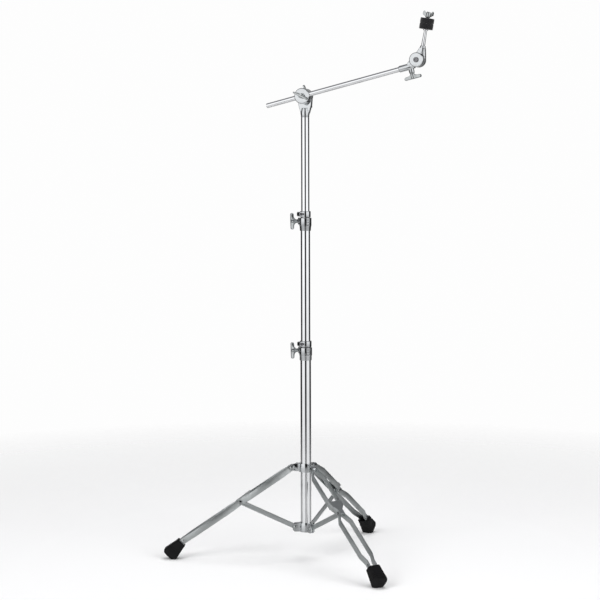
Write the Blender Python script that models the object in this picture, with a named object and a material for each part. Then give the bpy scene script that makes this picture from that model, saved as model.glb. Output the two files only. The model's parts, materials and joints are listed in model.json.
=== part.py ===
"""Cymbal boom stand: tripod base, two-stage mast, tilting boom and cymbal tilter.

Frame: +Z up, the floor at Z = 0. The stand is modelled with the mast's axis on
X = Y = 0 and then moved along X, so that the origin is under the middle of its bounding
box. The left leg points along -X and the other two stand at 60 degrees either side of
+X. Lengths are given in millimetres and turned into metres as each solid is made.
"""
import math

import bmesh
import bpy
from mathutils import Matrix, Vector

MM = 0.001
GAP = 0.3                     # running gap left between touching pieces
MAST_X = 26.0                 # where the mast's axis stands in the finished frame

# Mast: outer radii of the three tubes, their wall and their ends
TUBE_WALL = 1.2
BASE_TUBE_R = 14.3
MIDDLE_TUBE_R = 12.7
TOP_TUBE_R = 11.1
BASE_TUBE_FOOT_Z = 75.0
LOW_CLAMP_Z = 567.0           # middle of the lower height clamp's band
HIGH_CLAMP_Z = 915.5
MIDDLE_TUBE_LENGTH = 500.0
TOP_TUBE_LENGTH = 430.0
NECK_FOOT_Z = 1193.0          # where the boom joint's casting meets the top tube

# Tripod, in the plane of one leg: radius from the mast's axis and height
LEG_AZIMUTHS = {"left": 180.0, "front": -60.0, "rear": 60.0}
COLLAR_PIVOT = (38.0, 250.0)
HUB_PIVOT = (28.0, 86.5)
KNEE_PIVOT = (178.0, 155.0)   # where the brace meets the leg
STRIP_WIDTH = 16.0
STRIP_THICKNESS = 2.5
STRIP_END = 385.0             # length along the leg from the collar pivot
BEND_START = 352.0
BEND_LENGTH = 10.0
BEND_DEGREES = 11.2
FOOT_START = 363.0
BRACE_WIDTH = 13.0
BRACE_THICKNESS = 3.0
PIN_R = 3.0
PIN_HOLE_R = PIN_R + GAP

# Height clamps: the split runs along this azimuth, with the ears at its far end
CLAMP_SPLIT_AZIMUTH = 112.0
CLAMP_BOLT_OFFSET = 23.0
LOCK_EAR_AZIMUTH = 215.0
COLLAR_BOLT_AZIMUTH = 120.0

# Boom: the joint's centre, the boom's direction and its rod
BOOM_JOINT_Z = 1248.0
BOOM_AZIMUTH = -20.0
BOOM_SLOPE = 13.63
BOOM_R = 6.35
BOOM_WALL = 1.5
BOOM_DEPTH = 18.0             # rod's axis in front of the mast's axis
BOOM_BACK_END = -104.5
BOOM_FRONT_END = 312.0
BOOM_BORE_R = BOOM_R + GAP

# Tilter: its pivot along and above the boom, and the cymbal rod's direction
TILTER_PIVOT = (325.5, 11.6)
TILTER_R = 18.8
CYMBAL_ROD_SLOPE = 80.38      # above the horizontal, in the boom's plane
CYMBAL_ROD_OFFSET = -5.5
CYMBAL_ROD_DEPTH = 2.3
FELT_R = 18.0
FELT_HEIGHT = 13.2

ROUND = 32                    # sides of a large round piece
SMALL_ROUND = 12


# ---------------------------------------------------------------- frames

def at(x=0.0, y=0.0, z=0.0):
    """A move by millimetres."""
    return Matrix.Translation(Vector((x, y, z)) * MM)


def turn(degrees, axis):
    """A turn about one of the local axes."""
    return Matrix.Rotation(math.radians(degrees), 4, axis)


# ---------------------------------------------------------------- solids

def new_object(bm):
    """Close a bmesh into an object, with its faces pointing out."""
    bmesh.ops.remove_doubles(bm, verts=bm.verts, dist=0.002 * MM)
    bmesh.ops.recalc_face_normals(bm, faces=bm.faces)
    mesh = bpy.data.meshes.new("solid")
    bm.to_mesh(mesh)
    bm.free()
    solid = bpy.data.objects.new("solid", mesh)
    bpy.context.scene.collection.objects.link(solid)
    return solid


def lathe(profile, closed=False, segments=ROUND, along="Z"):
    """Turn a (radius, height) outline about an axis; a ring's outline is closed."""
    bm = bmesh.new()
    verts = [bm.verts.new(swap((r, 0.0, h), along) * MM) for r, h in profile]
    edges = [bm.edges.new(pair) for pair in zip(verts, verts[1:])]
    if closed:
        edges.append(bm.edges.new((verts[-1], verts[0])))
    axis = swap((0.0, 0.0, 1.0), along)
    bmesh.ops.spin(bm, geom=verts + edges, cent=(0, 0, 0), axis=axis,
                   angle=math.tau, steps=segments, use_merge=True)
    return new_object(bm)


def swap(point, along):
    """Read a point whose third value lies along the named axis."""
    a, b, c = point
    return Vector({"X": (c, a, b), "Y": (b, c, a), "Z": (a, b, c)}[along])


def prism(outline, low, high, along="Z", bevel=0.0):
    """Extrude a flat outline; along X it is read in Y-Z, along Y in X-Z."""
    order = {"X": lambda a, b: (low, a, b), "Y": lambda a, b: (a, low, b),
             "Z": lambda a, b: (a, b, low)}[along]
    bm = bmesh.new()
    face = bm.faces.new([bm.verts.new(Vector(order(a, b)) * MM) for a, b in outline])
    grown = bmesh.ops.extrude_face_region(bm, geom=[face])["geom"]
    moved = [item for item in grown if isinstance(item, bmesh.types.BMVert)]
    step = Vector([float(along == name) for name in "XYZ"]) * (high - low) * MM
    bmesh.ops.translate(bm, verts=moved, vec=step)
    if bevel:
        bmesh.ops.recalc_face_normals(bm, faces=bm.faces)
        bmesh.ops.bevel(bm, geom=bm.edges[:], offset=bevel * MM, segments=1,
                        profile=0.5, affect="EDGES", clamp_overlap=True)
    return new_object(bm)


def circle(radius, centre=(0.0, 0.0), segments=ROUND):
    """A round outline."""
    steps = [math.tau * (k + 0.5) / segments for k in range(segments)]
    return [(centre[0] + radius * math.cos(a), centre[1] + radius * math.sin(a))
            for a in steps]


def rod(radius, low, high, along="Z", centre=(0.0, 0.0), segments=ROUND):
    """A plain cylinder, given by its ends along one axis."""
    return prism(circle(radius, centre, segments), low, high, along)


def ring(inner, outer, low, high, segments=ROUND, chamfer=0.0):
    """A tube or a ring about Z, with chamfered outer edges where asked."""
    profile = [(inner, low), (inner, high), (outer - chamfer, high)]
    if chamfer:
        profile.append((outer, high - chamfer))
        profile.append((outer, low + chamfer))
    profile.append((outer - chamfer, low) if chamfer else (outer, low))
    return lathe(profile, closed=True, segments=segments)


def box(x, y, z):
    """A block given by its low and high X, Y and Z."""
    return prism([(x[0], y[0]), (x[1], y[0]), (x[1], y[1]), (x[0], y[1])], z[0], z[1])


def mirrored(points):
    """An outline from its right half, listed from the bottom up."""
    return points + [(-x, y) for x, y in reversed(points) if x > 0.0]


def boolean(body, tool, operation):
    """Join or cut with one tool, keep the result and drop the tool."""
    step = body.modifiers.new("step", "BOOLEAN")
    step.operation = operation
    step.solver = "EXACT"
    step.object = tool
    graph = bpy.context.evaluated_depsgraph_get()
    result = bpy.data.meshes.new_from_object(body.evaluated_get(graph))
    body.modifiers.clear()
    body.data = result
    bpy.data.objects.remove(tool)


def union(body, *others):
    """Join solids into one body."""
    for other in others:
        boolean(body, other, "UNION")
    return body


def cut(body, *cutters):
    """Take cutters away from a body."""
    for cutter in cutters:
        boolean(body, cutter, "DIFFERENCE")
    return body


def material(name, colour, roughness, metallic):
    """A Principled finish."""
    made = bpy.data.materials.get(name)
    if made is None:
        made = bpy.data.materials.new(name)
        made.use_nodes = True
        shader = made.node_tree.nodes["Principled BSDF"]
        shader.inputs["Base Color"].default_value = (*colour, 1.0)
        shader.inputs["Roughness"].default_value = roughness
        shader.inputs["Metallic"].default_value = metallic
    return made


FINISHES = {
    "chrome": ((0.80, 0.81, 0.82), 0.08, 1.0),
    "satin_chrome": ((0.62, 0.64, 0.65), 0.28, 1.0),
    "cast_chrome": ((0.70, 0.72, 0.74), 0.16, 1.0),
    "rubber": ((0.018, 0.018, 0.020), 0.72, 0.0),
    "felt": ((0.020, 0.020, 0.022), 0.95, 0.0),
    "nylon": ((0.045, 0.045, 0.050), 0.45, 0.0),
    "dark_steel": ((0.16, 0.16, 0.17), 0.35, 1.0),
}


def node(solid, name, finish, place=None, parent=None):
    """Name a finished solid, give it its finish and put it in its place."""
    solid.name = name
    solid.data.name = name
    # Drop the slivers that a boolean leaves, so that every face has a real area
    bm = bmesh.new()
    bm.from_mesh(solid.data)
    bmesh.ops.remove_doubles(bm, verts=bm.verts, dist=0.002 * MM)
    bmesh.ops.dissolve_degenerate(bm, edges=bm.edges, dist=0.002 * MM)
    bm.to_mesh(solid.data)
    bm.free()
    solid.data.materials.clear()
    solid.data.materials.append(material(finish, *FINISHES[finish]))
    solid.data.shade_smooth()
    solid.data.set_sharp_from_angle(angle=math.radians(35))
    solid.matrix_world = place or Matrix()
    if parent:
        solid.parent = parent
        solid.matrix_parent_inverse = parent.matrix_world.inverted()
    return solid


def pivot(name, place, parent=None):
    """An empty that marks a joint's axis, as the parent of what moves on it."""
    marker = bpy.data.objects.new(name, None)
    marker.empty_display_size = 0.02
    bpy.context.scene.collection.objects.link(marker)
    marker.matrix_world = place
    bpy.context.view_layer.update()
    if parent:
        marker.parent = parent
        marker.matrix_parent_inverse = parent.matrix_world.inverted()
        bpy.context.view_layer.update()
    return marker


# ---------------------------------------------------------------- fasteners

def tee_bolt(shank_r, shank, stem, half_span, head):
    """A cast T-handled bolt along Z: shank below its seat at Z = 0, handle above."""
    flange_r, stem_r = shank_r + 2.6, shank_r + 1.7
    shaft = lathe([(0.0, -shank), (shank_r - 0.6, -shank), (shank_r, -shank + 0.8),
                   (shank_r, 0.0), (flange_r, 0.0), (flange_r, 2.2), (stem_r, 3.2),
                   (stem_r, stem + head - 1.2), (0.0, stem + head - 1.2)],
                  segments=SMALL_ROUND)
    handle = prism(mirrored([(stem_r * 0.75, stem * 0.45), (stem_r + 1.4, stem * 0.75),
                             (stem_r + 5.0, stem - 0.8), (half_span - 2.5, stem),
                             (half_span, stem + 2.2), (half_span, stem + head - 2.0),
                             (half_span - 2.4, stem + head)]),
                   -2.4, 2.4, along="Y", bevel=0.7)
    return union(shaft, handle)


def wing_nut(bore_r, boss_r, height, half_span, wing_low, wing_high, blind=0.0):
    """A wing nut along Z, seated at Z = 0, with its bore open at the seat."""
    boss = lathe([(0.0, 0.0), (boss_r, 0.0), (boss_r * 0.92, height * 0.55),
                  (boss_r * 0.72, height), (0.0, height)], segments=SMALL_ROUND)
    wings = prism(mirrored([(boss_r * 0.55, wing_low * 0.35), (boss_r + 1.0, wing_low * 0.6),
                            (half_span * 0.72, wing_low), (half_span, wing_low + 2.6),
                            (half_span, wing_high - 2.4), (half_span - 2.6, wing_high),
                            (half_span * 0.60, wing_high - 0.6),
                            (boss_r * 0.9, height * 0.80)]),
                  -2.1, 2.1, along="Y", bevel=0.6)
    bore = rod(bore_r, -1.0, height - blind if blind else height + 1.0,
               segments=SMALL_ROUND)
    return cut(union(boss, wings), bore)


def rivet(half_length, seat):
    """A headed pin along Y, with its heads outside the pieces that it joins."""
    return lathe([(0.0, -half_length), (4.6, -half_length), (5.5, -half_length + 0.9),
                  (5.5, -seat), (PIN_R, -seat), (PIN_R, seat), (5.5, seat),
                  (5.5, half_length - 0.9), (4.6, half_length), (0.0, half_length)],
                 segments=SMALL_ROUND, along="Y")


# ---------------------------------------------------------------- tripod

def slope_between(low, high):
    """The angle below the horizontal from one pivot out to another."""
    return math.degrees(math.atan2(low[1] - high[1], high[0] - low[0]))


LEG_SLOPE = slope_between(COLLAR_PIVOT, KNEE_PIVOT)
BRACE_SLOPE = -slope_between(HUB_PIVOT, KNEE_PIVOT)
KNEE_AT = math.dist(COLLAR_PIVOT, KNEE_PIVOT)
BRACE_LENGTH = math.dist(HUB_PIVOT, KNEE_PIVOT)

# Half the distance between a leg's two strips, along the leg from the collar pivot
STRIP_SPREAD = [(-8.0, 6.5), (11.0, 6.5), (33.0, 16.5), (KNEE_AT - 27.0, 16.5),
                (KNEE_AT - 6.5, 6.0), (KNEE_AT + 6.5, 6.0), (KNEE_AT + 31.0, 16.5),
                (322.0, 16.5), (346.0, 10.0), (STRIP_END, 10.0)]


def leg_line(t):
    """The leg's middle line: distance along its slope, drop below it, and turn."""
    if t <= BEND_START:
        return t, 0.0, 0.0
    radius = BEND_LENGTH / math.radians(BEND_DEGREES)
    angle = math.radians(BEND_DEGREES) * min(1.0, (t - BEND_START) / BEND_LENGTH)
    rest = max(0.0, t - BEND_START - BEND_LENGTH)
    x = BEND_START + radius * math.sin(angle) + rest * math.cos(angle)
    drop = radius * (1.0 - math.cos(angle)) + rest * math.sin(angle)
    return x, drop, angle


def strip_spread(t):
    """Half the spacing of the strips at a distance along the leg."""
    for (t0, y0), (t1, y1) in zip(STRIP_SPREAD, STRIP_SPREAD[1:]):
        if t <= t1:
            return y0 + (y1 - y0) * (t - t0) / (t1 - t0)
    return STRIP_SPREAD[-1][1]


def strip_stations():
    """(distance along the leg, half width) from the rounded end to the foot."""
    half = STRIP_WIDTH / 2
    ends = [(-half * math.cos(math.radians(a)), half * math.sin(math.radians(a)))
            for a in (12, 32, 54, 90)]
    bends = [BEND_START, BEND_START + BEND_LENGTH / 2, BEND_START + BEND_LENGTH]
    middle = sorted({t for t, _ in STRIP_SPREAD if t > 0.0} | set(bends))
    return ends + [(t, half) for t in middle]


def leg_strip(side):
    """One of a leg's two strips: flat bar, waisted at the knee, bent into the foot."""
    bm = bmesh.new()
    rows = []
    stations = strip_stations()
    for index, (t, half) in enumerate(stations):
        before = stations[max(index - 1, 0)][0]
        after = stations[min(index + 1, len(stations) - 1)][0]
        slope_in = (strip_spread(t) - strip_spread(before)) / max(t - before, 0.01)
        slope_out = (strip_spread(after) - strip_spread(t)) / max(after - t, 0.01)
        lean_in, lean_out = math.atan(slope_in), math.atan(slope_out)
        if index == 0:
            lean_in = lean_out
        if index == len(stations) - 1:
            lean_out = lean_in
        lean = (lean_in + lean_out) / 2
        reach = STRIP_THICKNESS / 2 / math.cos((lean_out - lean_in) / 2)
        row = []
        for outward, up in ((-1, -1), (1, -1), (1, 1), (-1, 1)):
            along = t - outward * reach * math.sin(lean)
            x, drop, angle = leg_line(along)
            x += up * half * math.sin(angle)
            height = up * half * math.cos(angle) - drop
            y = side * (strip_spread(t) + outward * reach * math.cos(lean))
            row.append(bm.verts.new(Vector((x, y, height)) * MM))
        rows.append(row)
    for low, high in zip(rows, rows[1:]):
        for k in range(4):
            n = (k + 1) % 4
            bm.faces.new((low[k], low[n], high[n], high[k]))
    bm.faces.new(rows[0])
    bm.faces.new(reversed(rows[-1]))
    strip = new_object(bm)
    holes = [rod(PIN_HOLE_R, -20.0, 20.0, "Y", (x, 0.0), SMALL_ROUND)
             for x in (0.0, KNEE_AT)]
    return cut(strip, *holes)


def knee_saddle():
    """The bracket at the knee: a plate over the strips and two cheeks between them."""
    a, b, c, d = KNEE_AT - 38.0, KNEE_AT - 20.0, KNEE_AT - 8.0, KNEE_AT + 9.0
    plate = prism([(a, -17.8), (b, -16.8), (c, -7.6), (d, -7.2),
                   (d, 7.2), (c, 7.6), (b, 16.8), (a, 17.8)], 8.3, 9.9)
    side = [(c - 4.0, 9.4), (d, 9.4), (d, -5.0), (d - 4.0, -8.0), (c + 2.0, -8.0),
            (c - 4.0, -2.0)]
    cheeks = [prism(side, low, low + 2.5, along="Y") for low in (-4.4, 1.9)]
    hole = rod(PIN_HOLE_R, -20.0, 20.0, "Y", (KNEE_AT, 0.0), SMALL_ROUND)
    return cut(union(plate, *cheeks), hole)


def brace_bar():
    """A flat bar with rounded ends and a hole at each, along X from the hub pivot."""
    half = BRACE_WIDTH / 2
    right = [(BRACE_LENGTH + half * math.cos(a), half * math.sin(a))
             for a in (math.radians(k) for k in range(-90, 91, 18))]
    left = [(-half * math.cos(a), -half * math.sin(a))
            for a in (math.radians(k) for k in range(-90, 91, 18))]
    bar = prism(right + left, -BRACE_THICKNESS / 2, BRACE_THICKNESS / 2, along="Y")
    holes = [rod(PIN_HOLE_R, -9.0, 9.0, "Y", (x, 0.0), SMALL_ROUND)
             for x in (0.0, BRACE_LENGTH)]
    return cut(bar, *holes)


def rounded_box_outline(half_a, half_b, radius):
    """A rectangle with rounded corners."""
    points = []
    for sign_a, sign_b, start in ((1, 1, 0), (-1, 1, 90), (-1, -1, 180), (1, -1, 270)):
        for step in (0, 30, 60, 90):
            angle = math.radians(start + step)
            points.append((sign_a * (half_a - radius) + radius * math.cos(angle),
                           sign_b * (half_b - radius) + radius * math.sin(angle)))
    return points


def rubber_foot(floor_point, floor_normal):
    """A rubber boot along X: a socket for the strips and a flat where it stands."""
    stations = [(0.0, 12.2, 16.6), (1.2, 13.0, 17.4), (8.0, 13.6, 17.6),
                (40.0, 20.4, 17.6), (45.0, 21.0, 17.4), (49.0, 19.4, 16.0),
                (52.6, 15.6, 12.6), (54.2, 10.6, 8.0)]
    bm = bmesh.new()
    rings = []
    for x, half_height, half_side in stations:
        radius = min(7.0, half_height - 1.0, half_side - 1.0)
        outline = rounded_box_outline(half_side, half_height, radius)
        rings.append([bm.verts.new(Vector((x, y, z)) * MM) for y, z in outline])
    for low, high in zip(rings, rings[1:]):
        for k in range(len(low)):
            n = (k + 1) % len(low)
            bm.faces.new((low[k], low[n], high[n], high[k]))
    bm.faces.new(reversed(rings[0]))
    bm.faces.new(rings[-1])
    everything = bm.verts[:] + bm.edges[:] + bm.faces[:]
    bmesh.ops.bisect_plane(bm, geom=everything, plane_co=floor_point,
                           plane_no=-floor_normal, clear_outer=True)
    rim = [edge for edge in bm.edges if edge.is_boundary]
    bmesh.ops.contextual_create(bm, geom=rim)
    foot = new_object(bm)
    depth = STRIP_END - FOOT_START + 1.0
    return cut(foot, box((-2.0, depth), (-11.6, 11.6), (-8.4, 8.4)))


def make_leg(name, azimuth):
    """One leg with its brace: every piece in its own frame about the mast."""
    plane = turn(azimuth, "Z")
    hub = plane @ at(HUB_PIVOT[0], 0.0, HUB_PIVOT[1])
    collar = plane @ at(COLLAR_PIVOT[0], 0.0, COLLAR_PIVOT[1])
    knee = plane @ at(KNEE_PIVOT[0], 0.0, KNEE_PIVOT[1])
    leg_frame = collar @ turn(LEG_SLOPE, "Y")
    brace_axis = pivot(f"brace_axis_{name}", hub @ turn(-BRACE_SLOPE, "Y"))
    leg_axis = pivot(f"leg_axis_{name}", knee, brace_axis)
    node(brace_bar(), f"brace_{name}", "satin_chrome", brace_axis.matrix_world, brace_axis)
    for letter, side in (("a", 1), ("b", -1)):
        node(leg_strip(side), f"leg_strip_{name}_{letter}", "satin_chrome", leg_frame,
             leg_axis)
    node(knee_saddle(), f"knee_saddle_{name}", "satin_chrome", leg_frame, leg_axis)
    node(rivet(9.6, 7.6), f"knee_rivet_{name}", "chrome", knee, leg_axis)
    x, drop, _ = leg_line(FOOT_START)
    foot_frame = leg_frame @ at(x, 0.0, -drop) @ turn(BEND_DEGREES, "Y")
    inverse = foot_frame.inverted()
    foot = rubber_foot(inverse @ Vector((0, 0, 0)), inverse.to_3x3() @ Vector((0, 0, 1)))
    node(foot, f"rubber_foot_{name}", "rubber", foot_frame, leg_axis)
    node(rivet(8.2, 6.4), f"hub_pin_{name}", "chrome", hub)
    stub = rod(PIN_R, -4.8, 4.8, "Y", segments=SMALL_ROUND)
    return node(stub, f"collar_pin_{name}", "chrome", collar)


def hub_collar():
    """The fixed collar on the mast's foot, with a fork for each brace."""
    radius, half = 18.0, 12.3
    reach = HUB_PIVOT[0]
    body = rod(radius, -half, half)
    side = [(8.0, -half), (reach + 3.0, -half), (reach + 8.0, -7.5), (reach + 8.0, 6.0),
            (reach + 3.0, 11.0), (8.0, half)]
    for azimuth in LEG_AZIMUTHS.values():
        fork = prism(side, -6.1, 6.1, along="Y", bevel=0.6)
        fork.data.transform(turn(azimuth, "Z"))
        union(body, fork)
    for azimuth in LEG_AZIMUTHS.values():
        slot = box((19.4, 60.0), (-1.8, 1.8), (-20.0, 20.0))
        hole = rod(PIN_HOLE_R, -9.0, 9.0, "Y", (reach, 0.0), SMALL_ROUND)
        for tool in (slot, hole):
            tool.data.transform(turn(azimuth, "Z"))
            cut(body, tool)
    cut(body, rod(BASE_TUBE_R + GAP, -20.0, 20.0))
    return node(body, "hub_collar", "cast_chrome", at(0, 0, HUB_PIVOT[1]))


def slide_collar():
    """The sliding collar that carries the legs, with a boss for its T-bolt."""
    radius, half = 18.6, 11.6
    reach = COLLAR_PIVOT[0]
    body = rod(radius, -half, half)
    side = [(8.0, -half), (reach - 8.0, -9.6), (reach, -8.0)]
    side += [(reach + 8.0 * math.cos(math.radians(a)), 8.0 * math.sin(math.radians(a)))
             for a in range(-60, 61, 20)]
    side += [(reach, 8.0), (reach - 8.0, 9.6), (8.0, half)]
    for azimuth in LEG_AZIMUTHS.values():
        lug = prism(side, -4.6, 4.6, along="Y")
        hole = rod(PIN_HOLE_R, -9.0, 9.0, "Y", (reach, 0.0), SMALL_ROUND)
        for tool in (lug, hole):
            tool.data.transform(turn(azimuth, "Z"))
        union(body, lug)
        cut(body, hole)
    boss = rod(8.0, 8.0, 28.0, "X", segments=24)
    thread = rod(4.3, 8.0, 30.0, "X", segments=SMALL_ROUND)
    for tool in (boss, thread):
        tool.data.transform(turn(COLLAR_BOLT_AZIMUTH, "Z"))
    union(body, boss)
    cut(body, thread, rod(BASE_TUBE_R + GAP, -20.0, 20.0))
    return node(body, "slide_collar", "cast_chrome", at(0, 0, COLLAR_PIVOT[1]))


def make_base():
    """The base tube, its two collars and the three legs."""
    tube = ring(BASE_TUBE_R - TUBE_WALL, BASE_TUBE_R, BASE_TUBE_FOOT_Z,
                LOW_CLAMP_Z - 10.3)
    node(tube, "base_tube", "chrome")
    hub_collar()
    collar_axis = pivot("slide_collar_axis", at(0, 0, COLLAR_PIVOT[1]))
    collar = slide_collar()
    collar.parent = collar_axis
    collar.matrix_parent_inverse = collar_axis.matrix_world.inverted()
    seat = at(0, 0, COLLAR_PIVOT[1]) @ turn(COLLAR_BOLT_AZIMUTH, "Z") @ at(28.3, 0, 0)
    bolt_frame = seat @ turn(90, "Y") @ turn(70, "Z")
    node(tee_bolt(4.0, 13.3, 12.0, 22.0, 9.5), "collar_tee_bolt", "chrome", bolt_frame)
    for name, azimuth in LEG_AZIMUTHS.items():
        pin = make_leg(name, azimuth)
        pin.parent = collar_axis
        pin.matrix_parent_inverse = collar_axis.matrix_world.inverted()


# ---------------------------------------------------------------- height clamps

def clamp_solid(outer_r, tube_r, bushing_r):
    """The whole clamp before it is split: a tapered skirt under a band, bored out."""
    body = lathe([(0.0, -25.0), (tube_r + 1.9, -25.0), (outer_r - 0.9, -13.5),
                  (outer_r, -11.0), (outer_r, 8.8), (outer_r - 1.2, 10.0), (0.0, 10.0)])
    return cut(body, rod(tube_r + GAP, -30.0, -8.0), rod(bushing_r + GAP, -10.3, 20.0))


def clamp_ear(low, high):
    """One of the two ears that the bolt pulls together."""
    return prism([(14.0, -9.4), (27.0, -9.4), (31.5, -5.0), (31.5, 5.0), (27.0, 9.4),
                  (14.0, 9.4)], low, high, along="Y", bevel=0.6)


def knuckle(radius, low, high, outer_r):
    """A hinge knuckle outside the band."""
    return rod(radius, low, high, centre=(-(outer_r + 1.6), 0.0), segments=SMALL_ROUND)


def make_clamp(level, height, tube_r, inner_r, outer_r, mast):
    """A hinged height clamp with its bushing, T-bolt, memory lock and key bolt."""
    frame = at(0, 0, height) @ turn(CLAMP_SPLIT_AZIMUTH, "Z")
    bushing_r = inner_r + 1.9
    hinge = (-(outer_r + 1.6), 0.0)
    bolt_hole = (CLAMP_BOLT_OFFSET, 0.0)

    body = cut(clamp_solid(outer_r, tube_r, bushing_r),
               box((-60.0, 60.0), (-0.9, 60.0), (-10.5, 20.0)))
    ear = cut(clamp_ear(-10.0, -1.5), rod(outer_r - 1.0, -20.0, 20.0))
    union(body, ear, knuckle(3.6, -9.6, 9.6, outer_r))
    cut(body, rod(1.9, -20.0, 20.0, centre=hinge, segments=SMALL_ROUND),
        rod(3.7, -20.0, 5.0, "Y", bolt_hole, SMALL_ROUND),
        knuckle(3.9, -3.4, 3.4, outer_r))
    node(body, f"{level}_clamp_body", "cast_chrome", frame, mast)

    jaw = cut(clamp_solid(outer_r, tube_r, bushing_r),
              box((-60.0, 60.0), (-60.0, 0.9), (-60.0, 60.0)),
              box((-60.0, 60.0), (-60.0, 60.0), (-60.0, -9.9)))
    ear = cut(clamp_ear(1.5, 10.0), rod(outer_r - 1.0, -20.0, 20.0))
    union(jaw, ear)
    cut(jaw, knuckle(3.9, -12.0, -3.3, outer_r), knuckle(3.9, 3.3, 12.0, outer_r))
    union(jaw, knuckle(3.6, -3.1, 3.1, outer_r))
    cut(jaw, rod(1.9, -20.0, 20.0, centre=hinge, segments=SMALL_ROUND),
        rod(3.7, -5.0, 20.0, "Y", bolt_hole, SMALL_ROUND))
    node(jaw, f"{level}_clamp_jaw", "cast_chrome", frame, mast)

    pin = lathe([(0.0, -11.0), (1.6, -11.0), (1.6, 10.3), (2.8, 10.3), (2.8, 11.2),
                 (1.8, 11.8), (0.0, 11.8)], segments=12)
    node(pin, f"{level}_hinge_pin", "dark_steel", frame @ at(hinge[0], 0, 0), mast)

    bushing = ring(inner_r + GAP, bushing_r, -9.9, 10.7)
    node(bushing, f"{level}_bushing", "nylon", at(0, 0, height), mast)

    bolt = frame @ at(CLAMP_BOLT_OFFSET, 10.3, 0) @ turn(-90, "X") @ turn(90, "Z")
    node(tee_bolt(3.4, 19.0, 14.2, 22.0, 9.2), f"{level}_tee_bolt", "chrome", bolt, mast)

    lock_frame = at(0, 0, height) @ turn(LOCK_EAR_AZIMUTH, "Z")
    lock_r = inner_r + 3.3
    lock = lathe([(0.0, 11.7), (lock_r, 11.7), (lock_r, 26.4), (lock_r - 1.0, 27.4),
                  (0.0, 27.4)])
    ears = prism([(8.0, 13.4), (21.0, 13.4), (23.4, 16.0), (23.4, 23.4), (21.0, 25.8),
                  (8.0, 25.8)], -6.6, 6.6, along="Y", bevel=0.5)
    union(lock, ears)
    cut(lock, rod(inner_r + GAP, 0.0, 40.0), box((4.0, 40.0), (-1.0, 1.0), (0.0, 40.0)),
        rod(2.5, -20.0, 20.0, "Y", (18.6, 19.6), SMALL_ROUND))
    node(lock, f"{level}_memory_lock", "cast_chrome", lock_frame, mast)

    key_bolt = lathe([(0.0, -8.4), (1.7, -8.4), (2.2, -7.8), (2.2, 6.9), (4.3, 6.9),
                      (4.3, 9.0), (3.0, 10.0), (3.0, 12.6), (2.4, 13.2), (0.0, 13.2)],
                     segments=12, along="Y")
    node(key_bolt, f"{level}_key_bolt", "dark_steel", lock_frame @ at(18.6, 0, 19.6),
         mast)


def make_mast():
    """The two inner tubes and the clamps that hold them."""
    make_clamp("lower", LOW_CLAMP_Z, BASE_TUBE_R, MIDDLE_TUBE_R, 17.3, None)
    top = HIGH_CLAMP_Z - 10.3
    middle_axis = pivot("middle_tube_axis", at(0, 0, top))
    tube = ring(MIDDLE_TUBE_R - TUBE_WALL, MIDDLE_TUBE_R, top - MIDDLE_TUBE_LENGTH, top)
    node(tube, "middle_tube", "chrome", parent=middle_axis)
    make_clamp("upper", HIGH_CLAMP_Z, MIDDLE_TUBE_R, TOP_TUBE_R, 16.5, middle_axis)
    top_axis = pivot("top_tube_axis", at(0, 0, NECK_FOOT_Z), middle_axis)
    high = NECK_FOOT_Z - GAP
    tube = ring(TOP_TUBE_R - TUBE_WALL, TOP_TUBE_R, high - TOP_TUBE_LENGTH, high)
    node(tube, "top_tube", "chrome", parent=top_axis)
    return top_axis


# ---------------------------------------------------------------- boom

def joint_frame():
    """X along the boom's azimuth, Y up and Z out of the joint towards the front."""
    forward = Vector((math.cos(math.radians(BOOM_AZIMUTH)),
                      math.sin(math.radians(BOOM_AZIMUTH)), 0.0))
    up = Vector((0.0, 0.0, 1.0))
    out = forward.cross(up)
    frame = Matrix((forward, up, out)).transposed().to_4x4()
    return at(0, 0, BOOM_JOINT_Z) @ frame


def boom_neck():
    """The casting on the top tube: a spigot, a tapered neck and the joint's back disc."""
    foot = NECK_FOOT_Z - BOOM_JOINT_Z
    disc = lathe([(0.0, -9.0), (18.6, -9.0), (20.2, -7.4), (20.2, 4.3), (0.0, 4.3)])
    neck = prism([(-11.0, foot + 9.0), (11.0, foot + 9.0), (17.6, -24.0), (19.0, -6.0),
                  (-19.0, -6.0), (-17.6, -24.0)], -9.0, 4.3, bevel=1.0)
    stem = lathe([(0.0, foot - 22.0), (9.0, foot - 22.0), (9.6, foot - 21.0),
                  (9.6, foot), (11.3, foot), (11.3, foot + 4.0), (12.4, foot + 10.0),
                  (9.0, foot + 24.0), (0.0, foot + 24.0)], along="Y")
    return cut(union(disc, neck, stem), rod(6.3, -20.0, 20.0, segments=24))


def boom_clamp():
    """The tilting half of the joint, bored across for the boom and along for its bolt."""
    body = lathe([(0.0, 4.6), (20.7, 4.6), (20.7, 26.2), (18.9, 28.0), (0.0, 28.0)])
    return cut(body, rod(10.3, 0.0, 25.5, segments=24),
               rod(BOOM_BORE_R, -40.0, 40.0, "X", (0.0, BOOM_DEPTH), 24),
               rod(4.3, 20.0, 30.0, segments=SMALL_ROUND))


def boom_eye_bolt():
    """The bolt through the joint, with an eye that holds the boom."""
    body = union(rod(10.0, 5.2, 25.2, segments=24), rod(6.0, -27.0, 8.0, segments=24))
    return cut(body, rod(BOOM_BORE_R, -40.0, 40.0, "X", (0.0, BOOM_DEPTH), 24),
               rod(4.3, 18.0, 30.0, segments=SMALL_ROUND))


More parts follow.
